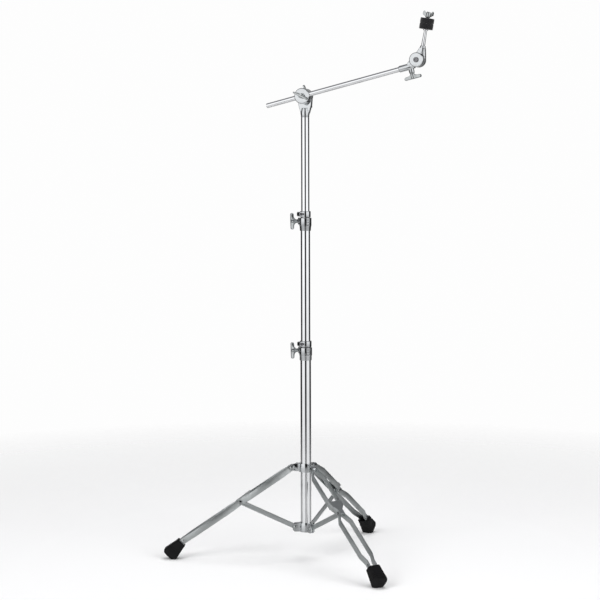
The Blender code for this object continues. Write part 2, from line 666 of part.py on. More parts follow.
def tilter_base():
    """The casting on the boom's end: a sleeve, a boss below and the front disc."""
    s, n = TILTER_PIVOT
    disc = lathe([(0.0, 9.4), (TILTER_R, 9.4), (TILTER_R, 26.2), (TILTER_R - 1.8, 28.0),
                  (0.0, 28.0)])
    disc.data.transform(at(s, n, 0.0))
    sleeve = lathe([(0.0, 274.0), (7.4, 274.0), (8.5, 275.2), (8.5, 306.0), (0.0, 306.0)],
                   along="X")
    sleeve.data.transform(at(0.0, 0.0, BOOM_DEPTH))
    web = prism([(297.0, -8.0), (316.0, -7.0), (318.0, 10.0), (310.0, 18.0),
                 (299.0, 8.0)], 10.6, 25.4, bevel=1.0)
    boss = rod(7.2, -16.0, 0.0, "Y", (305.0, BOOM_DEPTH), 24)
    body = union(disc, sleeve, web, boss)
    return cut(body,
               rod(BOOM_BORE_R, 260.0, BOOM_FRONT_END + 0.4, "X", (0.0, BOOM_DEPTH), 24),
               rod(4.3, -20.0, -4.0, "Y", (305.0, BOOM_DEPTH), SMALL_ROUND),
               rod(4.3, 0.0, 40.0, centre=(s, n), segments=SMALL_ROUND))


def tilter_head():
    """The tilting half: the back disc and the neck that holds the cymbal rod."""
    y = CYMBAL_ROD_OFFSET
    body = lathe([(0.0, -4.5), (TILTER_R - 1.4, -4.5), (TILTER_R, -3.1), (TILTER_R, 9.1),
                  (0.0, 9.1)])
    neck = prism([(2.0, -18.4), (14.0, y - 11.0), (33.0, y - 7.2), (33.0, y + 7.2),
                  (15.0, y + 15.0), (2.0, 14.0)], -4.5, 9.1, bevel=1.0)
    socket = lathe([(0.0, 20.0), (7.4, 20.0), (7.4, 34.0), (6.6, 38.0), (0.0, 38.0)],
                   along="X", segments=24)
    socket.data.transform(at(0.0, y, CYMBAL_ROD_DEPTH))
    union(body, neck, socket)
    return cut(body, rod(5.3, 18.0, 45.0, "X", (y, CYMBAL_ROD_DEPTH), 24),
               rod(4.3, -20.0, 20.0, segments=SMALL_ROUND))


def cymbal_stack(frame, axis):
    """The cymbal rod and what sits on it, along X from the tilter's pivot."""
    along = frame @ at(0.0, CYMBAL_ROD_OFFSET, CYMBAL_ROD_DEPTH) @ turn(90, "Y")
    post = lathe([(0.0, 18.4), (5.0, 18.4), (5.0, 46.0), (4.0, 74.0), (4.0, 77.4),
                  (6.6, 77.4), (6.6, 80.0), (3.0, 80.0), (3.0, 122.0), (2.4, 123.0),
                  (0.0, 123.0)], segments=20)
    node(post, "cymbal_rod", "chrome", along, axis)
    cup = lathe([(3.4, 80.3), (18.4, 81.2), (18.8, 82.2), (3.4, 82.2)], closed=True)
    node(cup, "cup_washer", "dark_steel", along, axis)
    sleeve = ring(3.3, 5.2, 82.5, 110.0, segments=20)
    node(sleeve, "cymbal_sleeve", "nylon", along, axis)
    low = 82.5
    for name in ("lower_felt", "upper_felt"):
        felt = ring(5.6, FELT_R, low, low + FELT_HEIGHT, chamfer=0.9)
        node(felt, name, "felt", along, axis)
        low += FELT_HEIGHT + GAP
    top = wing_nut(3.3, 6.4, 15.0, 14.6, 4.6, 17.2, blind=1.6)
    node(top, "top_wing_nut", "cast_chrome", along @ at(0, 0, 110.4) @ turn(90, "Z"), axis)


def make_boom(mast_axis):
    """The boom joint, the boom and the cymbal tilter."""
    joint = joint_frame()
    boom = joint @ turn(BOOM_SLOPE, "Z")
    node(boom_neck(), "boom_neck", "cast_chrome", joint, mast_axis)
    tilt_axis = pivot("boom_tilt_axis", boom, mast_axis)
    node(boom_clamp(), "boom_clamp", "cast_chrome", boom, tilt_axis)
    node(boom_eye_bolt(), "boom_eye_bolt", "dark_steel", boom, tilt_axis)
    back = joint @ at(0, 0, -9.8) @ turn(180, "X") @ turn(-113, "Z")
    node(wing_nut(6.3, 9.4, 13.0, 33.0, 4.4, 14.6), "boom_wing_nut", "cast_chrome",
         back, tilt_axis)
    front = joint @ at(0, 0, 28.3) @ turn(-30.5, "Z")
    node(tee_bolt(4.0, 3.5, 6.0, 22.0, 8.0), "boom_tee_bolt", "chrome", front, tilt_axis)

    boom_axis = pivot("boom_slide_axis", boom @ at(0, 0, BOOM_DEPTH), tilt_axis)
    tube = ring(BOOM_R - BOOM_WALL, BOOM_R, BOOM_BACK_END, BOOM_FRONT_END, segments=24)
    node(tube, "boom_rod", "chrome", boom @ at(0, 0, BOOM_DEPTH) @ turn(90, "Y"),
         boom_axis)
    node(tilter_base(), "tilter_base", "cast_chrome", boom, boom_axis)
    below = boom @ at(305.0, -16.3, BOOM_DEPTH) @ turn(90, "X")
    node(tee_bolt(4.0, 9.5, 9.0, 23.0, 8.4), "tilter_tee_bolt", "chrome", below, boom_axis)

    head = boom @ at(*TILTER_PIVOT, 0.0) @ turn(CYMBAL_ROD_SLOPE - BOOM_SLOPE, "Z")
    head_axis = pivot("tilter_axis", head, boom_axis)
    screw = lathe([(0.0, -9.4), (6.8, -9.4), (6.8, -4.8), (4.0, -4.8), (4.0, 28.3),
                   (6.6, 28.3), (6.6, 30.2), (5.2, 31.4), (2.6, 31.4), (2.6, 29.4),
                   (0.0, 29.4)], segments=24)
    node(screw, "tilter_screw", "dark_steel", head, boom_axis)
    node(tilter_head(), "tilter_head", "cast_chrome", head, head_axis)
    cymbal_stack(head, head_axis)


def main():
    """Clear the scene, build the stand and move it into its frame."""
    for item in list(bpy.data.objects):
        bpy.data.objects.remove(item)
    make_base()
    make_boom(make_mast())
    bpy.context.view_layer.update()
    for item in bpy.data.objects:
        if item.parent is None:
            item.matrix_world = at(MAST_X, 0, 0) @ item.matrix_world
    bpy.context.view_layer.update()


main()
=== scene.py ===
"""Cymbal boom stand: the finished look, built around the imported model.

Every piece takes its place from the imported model's nodes and joints. Lengths inside the
functions are in millimetres and are turned into metres as each piece is made.
"""
import json
import math

import bmesh
import bpy
from bpy.props import FloatProperty, FloatVectorProperty, IntProperty, PointerProperty
from mathutils import Matrix, Vector

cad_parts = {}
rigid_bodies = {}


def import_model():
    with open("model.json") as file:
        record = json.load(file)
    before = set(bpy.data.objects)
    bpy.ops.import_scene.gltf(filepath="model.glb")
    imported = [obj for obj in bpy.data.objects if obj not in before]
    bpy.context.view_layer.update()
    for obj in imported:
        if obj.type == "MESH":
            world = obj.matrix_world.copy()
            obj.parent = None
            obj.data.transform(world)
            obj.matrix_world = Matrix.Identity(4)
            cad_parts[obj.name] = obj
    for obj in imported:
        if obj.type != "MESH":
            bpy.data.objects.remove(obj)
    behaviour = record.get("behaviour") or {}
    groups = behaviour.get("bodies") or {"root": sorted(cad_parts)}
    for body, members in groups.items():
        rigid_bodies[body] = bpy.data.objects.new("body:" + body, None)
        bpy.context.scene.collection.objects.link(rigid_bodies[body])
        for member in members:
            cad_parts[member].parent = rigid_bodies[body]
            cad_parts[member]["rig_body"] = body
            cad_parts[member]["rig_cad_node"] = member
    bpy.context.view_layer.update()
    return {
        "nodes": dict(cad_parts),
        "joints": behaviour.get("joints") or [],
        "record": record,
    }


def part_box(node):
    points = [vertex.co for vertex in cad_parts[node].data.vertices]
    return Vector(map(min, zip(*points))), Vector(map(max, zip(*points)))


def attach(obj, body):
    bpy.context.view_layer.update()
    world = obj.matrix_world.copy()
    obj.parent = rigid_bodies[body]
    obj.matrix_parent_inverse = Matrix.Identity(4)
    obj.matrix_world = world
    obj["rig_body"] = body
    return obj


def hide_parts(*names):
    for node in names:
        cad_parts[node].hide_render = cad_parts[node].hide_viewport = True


bl_info = {
    "name": "Cymbal Boom Stand",
    "version": (1, 0, 0),
    "blender": (4, 5, 0),
    "location": "View3D > Sidebar > Boom Stand",
    "description": "Builds the finish and detail of a cymbal boom stand on its frame",
    "category": "Object",
}

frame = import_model()

MM = 0.001
FINE = 96                     # sides of a large turned piece
MEDIUM = 48
SMALL = 24

JOINTS = {joint["name"]: joint for joint in frame["joints"]}
SLOT_OF = {row["node"]: row["material_slot"] for row in frame["record"]["subparts"]}
BODY_OF = {node: piece["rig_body"] for node, piece in frame["nodes"].items()}
LEGS = ("left", "front", "rear")
LEVELS = ("lower", "upper")
FOOT_BEND = 11.2              # degrees that the strips turn down into the boots
LOCK_AZIMUTH = 215.0          # degrees: which way the memory locks' ears point
TUBE_WALL = 1.2
BOOM_RADIUS, BOOM_WALL = 6.35, 1.5
STACK_HEIGHT = 110.4          # from the tilter's pivot up to the top nut's seat
FELT_START, FELT_THICK, FELT_GAP = 82.5, 13.2, 0.3
BOOT_HALF = 17.6              # half the width of a boot's straight part
BOOT_CORNER = 7.0
SOCKET_INSET, SOCKET_DEPTH = 3.9, 14.0
CAMERA_DISTANCE, CAMERA_HEIGHT, CAMERA_OFFSET = 4.5, 1.087, 0.0139    # metres
CAMERA_DIP, CAMERA_ROLL = 4.86, 0.15          # degrees


# ---------------------------------------------------------------- places

def middle(node):
    """The middle of a node's box."""
    low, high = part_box(node)
    return (low + high) / 2


def joint_point(name):
    """A joint's point."""
    return Vector(JOINTS[name]["pos_m"])


def joint_axis(name):
    """A joint's direction."""
    return Vector(JOINTS[name]["axis"]).normalized()


def facing(origin, z_axis, x_axis):
    """A frame with Z along one direction and X as near as it can be to another."""
    z = Vector(z_axis).normalized()
    x = Vector(x_axis)
    x = (x - z * x.dot(z)).normalized()
    y = z.cross(x)
    turned_frame = Matrix((x, y, z)).transposed().to_4x4()
    turned_frame.translation = Vector(origin)
    return turned_frame


def along(place, x=0.0, y=0.0, z=0.0):
    """A frame moved by millimetres along its own axes."""
    return place @ Matrix.Translation(Vector((x, y, z)) * MM)


UP = Vector((0.0, 0.0, 1.0))
MAST = middle("base_tube")
BOOM_WAY = -joint_axis("boom_slide")
OUT = joint_axis("boom_tilt")
STACK_WAY = joint_axis("top_nut_turn")
# The tilter's joint lies in the cymbal rod's plane, a little in front of the castings'
ROD_DEPTH = 2.3
TILTER_FRAME = along(facing(joint_point("tilter_tilt"), OUT, STACK_WAY), z=-ROD_DEPTH)
STACK_TOP = joint_point("top_nut_turn")


# ---------------------------------------------------------------- modelling helpers

def deselect():
    """Object mode, with nothing selected."""
    if bpy.context.mode != "OBJECT":
        bpy.ops.object.mode_set(mode="OBJECT")
    bpy.ops.object.select_all(action="DESELECT")


def only(piece):
    """Make one object the selected and active one."""
    deselect()
    piece.select_set(True)
    bpy.context.view_layer.objects.active = piece


def edit():
    """Edit the active object's mesh, choosing by vertex."""
    bpy.ops.object.mode_set(mode="EDIT")
    bpy.ops.mesh.select_mode(type="VERT")


def choose_faces(piece, test):
    """In edit mode, select just the faces that pass a test."""
    bpy.ops.mesh.select_mode(type="FACE")
    bpy.ops.mesh.select_all(action="DESELECT")
    bm = bmesh.from_edit_mesh(piece.data)
    bm.normal_update()
    for face in bm.faces:
        face.select_set(bool(test(face)))
    bmesh.update_edit_mesh(piece.data)


def modifier(piece, kind, **settings):
    """Add a modifier, set it and apply it."""
    only(piece)
    bpy.ops.object.modifier_add(type=kind)
    added = piece.modifiers[-1]
    for name, value in settings.items():
        setattr(added, name, value)
    bpy.ops.object.modifier_apply(modifier=added.name)


def soften(piece, width, degrees=40.0, segments=3):
    """Round the sharp edges by millimetres."""
    modifier(piece, "BEVEL", width=width * MM, segments=segments, limit_method="ANGLE",
             angle_limit=math.radians(degrees), use_clamp_overlap=True)


def smooth(piece, degrees=38.0):
    """Smooth shading that keeps the real edges."""
    only(piece)
    bpy.ops.object.shade_smooth_by_angle(angle=math.radians(degrees))


def settle(piece, place):
    """Move a piece to its place and put that place into its mesh."""
    only(piece)
    piece.matrix_world = place @ piece.matrix_world
    bpy.ops.object.transform_apply(location=True, rotation=True, scale=True)


def turned(outline, segments=MEDIUM, ring=False):
    """Turn an outline of (radius, height) about Z; a ring's outline returns to its start."""
    deselect()
    points = [(r * MM, h * MM) for r, h in outline]
    radius, height = points[0]
    bpy.ops.mesh.primitive_circle_add(vertices=segments, radius=radius,
                                      fill_type="NOTHING" if ring else "NGON")
    piece = bpy.context.object
    edit()
    bpy.ops.mesh.select_all(action="SELECT")
    bpy.ops.transform.translate(value=(0.0, 0.0, height))
    for new_radius, new_height in points[1:] + (points[:1] if ring else []):
        bpy.ops.mesh.extrude_region_move(
            TRANSFORM_OT_translate={"value": (0.0, 0.0, new_height - height)})
        scale = new_radius / radius
        bpy.ops.transform.resize(value=(scale, scale, 1.0),
                                 center_override=(0.0, 0.0, new_height))
        radius, height = new_radius, new_height
    bpy.ops.mesh.select_all(action="SELECT")
    bpy.ops.mesh.remove_doubles(threshold=0.000001)
    bpy.ops.mesh.normals_make_consistent(inside=False)
    deselect()
    return piece


def refined(node, width, degrees=40.0):
    """A copy of a node, merged, cleared of edges inside its flats and softly rounded."""
    only(frame["nodes"][node])
    bpy.ops.object.duplicate()
    piece = bpy.context.object
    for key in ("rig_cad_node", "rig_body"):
        del piece[key]
    piece.parent = None
    bpy.ops.mesh.customdata_custom_splitnormals_clear()
    edit()
    bpy.ops.mesh.select_all(action="SELECT")
    bpy.ops.mesh.remove_doubles(threshold=0.000002)
    bpy.ops.mesh.dissolve_limited(angle_limit=math.radians(0.6))
    deselect()
    soften(piece, width, degrees)
    return piece


def joined(first, *others):
    """Join pieces into one object."""
    only(first)
    for other in others:
        other.select_set(True)
    bpy.ops.object.join()
    edit()
    bpy.ops.mesh.select_all(action="SELECT")
    bpy.ops.mesh.normals_make_consistent(inside=False)
    deselect()
    return first


def show(piece, name, node, *stands_for, degrees=38.0):
    """Name a piece, ride it on a node's body and give it that node's finish."""
    piece.name = name
    piece.data.name = name
    smooth(piece, degrees)
    slot = SLOT_OF[node]
    piece.data.materials.clear()
    piece.data.materials.append(FINISH[slot]())
    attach(piece, BODY_OF[node])
    if stands_for:
        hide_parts(*stands_for)
    return piece


def wing(sides, stations):
    """Cast wings: a block drawn out along X through (reach, low, high, thickness)."""
    deselect()
    bpy.ops.mesh.primitive_cube_add(size=1.0)
    piece = bpy.context.object
    reach, low, high, thick = stations[0]
    start = 0.0 if len(sides) == 2 else sides[0] * (reach - 0.5)
    edit()
    bpy.ops.mesh.select_all(action="SELECT")
    bpy.ops.transform.resize(
        value=((2 * reach if len(sides) == 2 else 1.0) * MM, thick * MM,
               (high - low) * MM), center_override=(0.0, 0.0, 0.0))
    bpy.ops.transform.translate(value=(start * MM, 0.0, (low + high) / 2 * MM))
    for side in sides:
        x, bottom, top, width = stations[0]
        choose_faces(piece, lambda f: f.normal.x * side > 0.9)
        for next_x, next_bottom, next_top, next_width in stations[1:]:
            centre = (next_bottom + next_top) / 2
            bpy.ops.mesh.extrude_region_move(TRANSFORM_OT_translate={
                "value": (side * (next_x - x) * MM, 0.0,
                          (centre - (bottom + top) / 2) * MM)})
            bpy.ops.transform.resize(
                value=(1.0, next_width / width, (next_top - next_bottom) / (top - bottom)),
                center_override=(side * next_x * MM, 0.0, centre * MM))
            x, bottom, top, width = next_x, next_bottom, next_top, next_width
    deselect()
    soften(piece, 1.3, 18.0)
    modifier(piece, "SUBSURF", levels=1, render_levels=1)
    return piece


# ---------------------------------------------------------------- shared surface effects

def effect(name, inputs, outputs, build):
    """A shader group with named inputs and outputs, made once."""
    group = bpy.data.node_groups.get(name)
    if group is None:
        group = bpy.data.node_groups.new(name, "ShaderNodeTree")
        for label, kind, default in inputs:
            socket = group.interface.new_socket(name=label, in_out="INPUT",
                                                socket_type=kind)
            socket.default_value = default
        for label, kind in outputs:
            group.interface.new_socket(name=label, in_out="OUTPUT", socket_type=kind)
        build(group.nodes, group.links, group.nodes.new("NodeGroupInput"),
              group.nodes.new("NodeGroupOutput"))
    return group


def noise(nodes, scale, detail, roughness=0.55):
    """A noise texture node."""
    made = nodes.new("ShaderNodeTexNoise")
    made.inputs["Scale"].default_value = scale
    made.inputs["Detail"].default_value = detail
    made.inputs["Roughness"].default_value = roughness
    return made


def spread(nodes, links, value, low, high, to_low, to_high):
    """Map a value's range onto another."""
    made = nodes.new("ShaderNodeMapRange")
    for label, number in (("From Min", low), ("From Max", high), ("To Min", to_low),
                          ("To Max", to_high)):
        made.inputs[label].default_value = number
    links.new(value, made.inputs["Value"])
    return made.outputs["Result"]


def handling_marks():
    """Soft smears and fine specks that handling leaves on plate."""
    def build(nodes, links, given, out):
        where = nodes.new("ShaderNodeTexCoord")
        broad = noise(nodes, 28.0, 5.0)
        specks = noise(nodes, 950.0, 2.0, 0.7)
        for made in (broad, specks):
            links.new(where.outputs["Object"], made.inputs["Vector"])
        smear = spread(nodes, links, broad.outputs["Fac"], 0.42, 0.68, 0.0, 1.0)
        speck = spread(nodes, links, specks.outputs["Fac"], 0.66, 0.74, 0.0, 1.0)
        both = nodes.new("ShaderNodeMath")
        both.operation = "MAXIMUM"
        links.new(smear, both.inputs[0])
        links.new(speck, both.inputs[1])
        span = nodes.new("ShaderNodeMapRange")
        links.new(both.outputs[0], span.inputs["Value"])
        links.new(given.outputs["Clean"], span.inputs["To Min"])
        links.new(given.outputs["Marked"], span.inputs["To Max"])
        links.new(span.outputs["Result"], out.inputs["Roughness"])
        links.new(smear, out.inputs["Mask"])
    return effect("Handling marks",
                  [("Clean", "NodeSocketFloat", 0.05), ("Marked", "NodeSocketFloat", 0.12)],
                  [("Roughness", "NodeSocketFloat"), ("Mask", "NodeSocketFloat")], build)


def grained_skin():
    """Fine height variation: the ripple of a casting or the grain of a moulding."""
    def build(nodes, links, given, out):
        where = nodes.new("ShaderNodeTexCoord")
        ripple = noise(nodes, 160.0, 3.0)
        grain = noise(nodes, 1400.0, 2.0)
        for made in (ripple, grain):
            links.new(where.outputs["Object"], made.inputs["Vector"])
        weigh = nodes.new("ShaderNodeMix")
        links.new(given.outputs["Fineness"], weigh.inputs["Factor"])
        links.new(ripple.outputs["Fac"], weigh.inputs["A"])
        links.new(grain.outputs["Fac"], weigh.inputs["B"])
        links.new(weigh.outputs["Result"], out.inputs["Height"])
    return effect("Grained skin", [("Fineness", "NodeSocketFloat", 0.3)],
                  [("Height", "NodeSocketFloat")], build)


def place_effect(material, group, **values):
    """Put an effect into a material with its own values."""
    made = material.node_tree.nodes.new("ShaderNodeGroup")
    made.node_tree = group
    for label, value in values.items():
        made.inputs[label].default_value = value
    return made


def new_finish(name, metallic):
    """A new material and its shader."""
    material = bpy.data.materials.new(name)
    material.use_nodes = True
    shader = material.node_tree.nodes["Principled BSDF"]
    shader.inputs["Metallic"].default_value = metallic
    return material, shader


def two_tones(material, mask, light, dark, socket):
    """Vary a socket's colour between two tones by a mask."""
    blend = material.node_tree.nodes.new("ShaderNodeMix")
    blend.data_type = "RGBA"
    blend.inputs["A"].default_value = (*light, 1.0)
    blend.inputs["B"].default_value = (*dark, 1.0)
    material.node_tree.links.new(mask, blend.inputs["Factor"])
    material.node_tree.links.new(blend.outputs["Result"], socket)


def bump(material, height, shader, strength, distance):
    """Raise a surface by a height."""
    made = material.node_tree.nodes.new("ShaderNodeBump")
    made.inputs["Strength"].default_value = strength
    made.inputs["Distance"].default_value = distance
    material.node_tree.links.new(height, made.inputs["Height"])
    material.node_tree.links.new(made.outputs["Normal"], shader.inputs["Normal"])


def once(builder):
    """Make a material the first time it's asked for, and hand back the same one after."""
    made = {}

    def get():
        if "it" not in made:
            made["it"] = builder()
        return made["it"]
    return get


def plated(name, tint, clean, marked, fineness, strength):
    """Bright or satin plate on metal."""
    material, shader = new_finish(name, 1.0)
    links = material.node_tree.links
    marks = place_effect(material, handling_marks(), Clean=clean, Marked=marked)
    links.new(marks.outputs["Roughness"], shader.inputs["Roughness"])
    colour = tuple(tint)
    two_tones(material, marks.outputs["Mask"], colour, tuple(c * 0.93 for c in colour),
              shader.inputs["Base Color"])
    skin = place_effect(material, grained_skin(), Fineness=fineness)
    bump(material, skin.outputs["Height"], shader, strength, 0.0004)
    return material


def settings():
    """The panel's values."""
    return bpy.context.scene.boom_stand


@once
def polished_tube():
    return plated("polished tube chrome", settings().tube_tint, 0.035, 0.085, 0.1, 0.015)


@once
def cast_plate():
    return plated("chrome on castings", settings().cast_tint, 0.09, 0.19, 0.2, 0.10)


@once
def satin_bar():
    """Flat bar: satin plate with the rolling grain left in it."""
    material, shader = new_finish("satin chrome on flat bar", 1.0)
    nodes, links = material.node_tree.nodes, material.node_tree.links
    marks = place_effect(material, handling_marks(), Clean=0.30, Marked=0.44)
    links.new(marks.outputs["Roughness"], shader.inputs["Roughness"])
    colour = tuple(settings().bar_tint)
    two_tones(material, marks.outputs["Mask"], colour, tuple(c * 0.86 for c in colour),
              shader.inputs["Base Color"])
    where = nodes.new("ShaderNodeTexCoord")
    stretch = nodes.new("ShaderNodeMapping")
    stretch.inputs["Scale"].default_value = (1.0, 1.0, 9.0)
    rolled = noise(nodes, 420.0, 2.0)
    links.new(where.outputs["Object"], stretch.inputs["Vector"])
    links.new(stretch.outputs["Vector"], rolled.inputs["Vector"])
    bump(material, rolled.outputs["Fac"], shader, 0.12, 0.0003)
    return material


@once
def fastener_plate():
    return plated("chrome on handles and pins", settings().handle_tint, 0.06, 0.14, 0.25,
                  0.06)


@once
def rod_plate():
    return plated("chrome on turned rod", settings().tube_tint, 0.05, 0.11, 0.6, 0.03)


@once
def dark_screw():
    return plated("dark plated steel", (0.22, 0.22, 0.23), 0.24, 0.40, 0.5, 0.10)


@once
def moulded_rubber():
    """Matt rubber with a fine grain and a little dust in soft patches."""
    material, shader = new_finish("moulded black rubber", 0.0)
    shader.inputs["Specular IOR Level"].default_value = 0.22
    links = material.node_tree.links
    marks = place_effect(material, handling_marks(), Clean=0.55, Marked=0.78)
    links.new(marks.outputs["Roughness"], shader.inputs["Roughness"])
    colour = tuple(settings().rubber_colour)
    two_tones(material, marks.outputs["Mask"], colour, tuple(c * 1.9 for c in colour),
              shader.inputs["Base Color"])
    skin = place_effect(material, grained_skin(), Fineness=0.8)
    bump(material, skin.outputs["Height"], shader, 0.35, 0.0006)
    return material


@once
def pressed_felt():
    """Wool felt: matted fibres, with a soft sheen at the edges."""
    material, shader = new_finish("pressed black felt", 0.0)
    shader.inputs["Roughness"].default_value = 0.95
    shader.inputs["Specular IOR Level"].default_value = 0.15
    shader.inputs["Sheen Weight"].default_value = 0.35
    shader.inputs["Sheen Roughness"].default_value = 0.5
    nodes, links = material.node_tree.nodes, material.node_tree.links
    where = nodes.new("ShaderNodeTexCoord")
    fibres = noise(nodes, 900.0, 4.0, 0.75)
    fibres.inputs["Distortion"].default_value = 1.8
    links.new(where.outputs["Object"], fibres.inputs["Vector"])
    mask = spread(nodes, links, fibres.outputs["Fac"], 0.35, 0.7, 0.0, 1.0)
    colour = tuple(settings().felt_colour)
    two_tones(material, mask, colour, tuple(c * 2.4 for c in colour),
              shader.inputs["Base Color"])
    bump(material, fibres.outputs["Fac"], shader, 0.8, 0.0008)
    return material


@once
def moulded_nylon():
    """Black nylon with a faint moulded skin."""
    material, shader = new_finish("moulded black nylon", 0.0)
    links = material.node_tree.links
    marks = place_effect(material, handling_marks(), Clean=0.36, Marked=0.5)
    links.new(marks.outputs["Roughness"], shader.inputs["Roughness"])
    two_tones(material, marks.outputs["Mask"], (0.045, 0.045, 0.05), (0.07, 0.07, 0.076),
              shader.inputs["Base Color"])
    skin = place_effect(material, grained_skin(), Fineness=0.7)
    bump(material, skin.outputs["Height"], shader, 0.15, 0.0003)
    return material


FINISH = {
    "chrome_tube": polished_tube, "cast_chrome": cast_plate, "strip_steel": satin_bar,
    "fastener_chrome": fastener_plate, "rod_chrome": rod_plate, "dark_steel": dark_screw,
    "black_rubber": moulded_rubber, "black_felt": pressed_felt,
    "black_nylon": moulded_nylon,
}


# ---------------------------------------------------------------- tubes

def rolled_tube(node, axis, centre, length, outer, wall):
    """A drawn tube with softly rolled rims, about its own axis."""
    low, high, inner, lip = -length / 2, length / 2, outer - wall, wall * 0.4
    tube = turned([(inner, low + lip), (inner, high - lip), (inner + lip, high),
                   (outer - lip, high), (outer, high - lip), (outer, low + lip),
                   (outer - lip, low), (inner + lip, low)], FINE, ring=True)
    settle(tube, facing(centre, axis, OUT))
    return show(tube, f"{node}_drawn", node, node)


def make_tubes():
    """The three mast tubes and the boom."""
    for node in ("base_tube", "middle_tube", "top_tube"):
        low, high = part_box(node)
        # A many-sided CAD tube's box is a little inside its true circle
        rolled_tube(node, UP, (low + high) / 2, (high.z - low.z) / MM,
                    round((high.x - low.x) / MM / 2, 1), TUBE_WALL)
    low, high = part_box("boom_rod")
    # The box of a slanting rod is its length and its round ends
    level = math.hypot(BOOM_WAY.x, BOOM_WAY.y)
    length = ((high.z - low.z) / MM - 2 * BOOM_RADIUS * level) / BOOM_WAY.z
    rolled_tube("boom_rod", BOOM_WAY, (low + high) / 2, length, BOOM_RADIUS, BOOM_WALL)


# ---------------------------------------------------------------- tripod

def leg_plane(name):
    """Which way a leg points from the mast."""
    way = joint_point(f"brace_pivot_{name}") - Vector((MAST.x, MAST.y, 0.0))
    return Vector((way.x, way.y, 0.0)).normalized()


def domed_rivet(half_length, seat, shank, head):
    """A pin along Z with a domed head at each end."""
    dome = [(head, seat), (head, seat + 0.5), (head * 0.86, half_length - 0.5),
            (head * 0.5, half_length - 0.1), (0.3, half_length)]
    below = [(r, -h) for r, h in reversed(dome)]
    return turned(below + [(shank, -seat), (shank, seat)] + dome, SMALL)


def make_legs():
    """Strips, braces, saddles and rivets of the three legs."""
    for name in LEGS:
        for node in (f"leg_strip_{name}_a", f"leg_strip_{name}_b"):
            show(refined(node, 0.45), f"{node}_bar", node, node)
        show(refined(f"brace_{name}", 0.5), f"brace_{name}_bar", f"brace_{name}",
             f"brace_{name}")
        show(refined(f"knee_saddle_{name}", 0.35), f"knee_saddle_{name}_pressed",
             f"knee_saddle_{name}", f"knee_saddle_{name}")
        side = UP.cross(leg_plane(name))
        for node, half, seat, shank, head in (
                (f"knee_rivet_{name}", 9.6, 7.6, 3.0, 5.5),
                (f"hub_pin_{name}", 8.2, 6.4, 3.0, 5.5),
                (f"collar_pin_{name}", 4.8, 4.4, 2.9, 2.95)):
            pin = domed_rivet(half, seat, shank, head)
            settle(pin, facing(middle(node), side, UP))
            show(pin, f"{node}_domed", node, node)
        # Rivet heads on the leg's two strips at the sliding collar
        centre = middle(f"collar_pin_{name}")
        for label, sign in (("a", 1.0), ("b", -1.0)):
            head = turned([(4.9, 7.9), (5.4, 8.3), (4.9, 9.3), (2.8, 10.0), (0.3, 10.2)],
                          SMALL)
            settle(head, facing(centre, side * sign, UP))
            show(head, f"leg_top_rivet_{name}_{label}", f"knee_rivet_{name}")


def make_collars():
    """The fixed hub and the sliding collar."""
    for node in ("hub_collar", "slide_collar"):
        show(refined(node, 0.7), f"{node}_cast", node, node)


def boot_frame(name):
    """A boot's frame: Z down into the boot from its rim, and X across the leg."""
    side = UP.cross(leg_plane(name))
    leg = (joint_point(f"knee_pivot_{name}") - middle(f"collar_pin_{name}")).normalized()
    down = Matrix.Rotation(math.radians(FOOT_BEND), 3, side) @ leg
    across = down.cross(side)
    points = [v.co for v in frame["nodes"][f"rubber_foot_{name}"].data.vertices]
    start = min(p.dot(down) for p in points)
    rim = [p for p in points if p.dot(down) < start + 0.1 * MM]
    mid = [(min(p.dot(way) for p in rim) + max(p.dot(way) for p in rim)) / 2
           for way in (side, across)]
    return facing(side * mid[0] + across * mid[1] + down * start, down, side)


def boot_bands():
    """(depth, half width, half height) down a boot, with grooves between its ribs."""
    plain = [(0.0, 16.6, 12.2), (1.2, 17.4, 13.0), (8.0, BOOT_HALF, 13.6),
             (40.0, BOOT_HALF, 20.4),
             (45.0, 17.4, 21.0), (49.0, 16.0, 19.4), (52.6, 12.6, 15.6), (54.2, 8.0, 10.6)]
    first, pitch, groove, deep = 24.0, 5.2, 1.5, 0.75
    bands = list(plain[:3])
    for number in range(settings().foot_ribs):
        top = first + pitch * number
        for depth, cut in ((top, 0.0), (top + 0.4, deep), (top + groove, deep),
                           (top + groove + 0.4, 0.0)):
            share = (depth - 8.0) / 32.0
            bands.append((depth, BOOT_HALF - cut, 13.6 + share * 6.8 - cut))
    return bands + [band for band in plain[3:] if band[0] > bands[-1][0]]


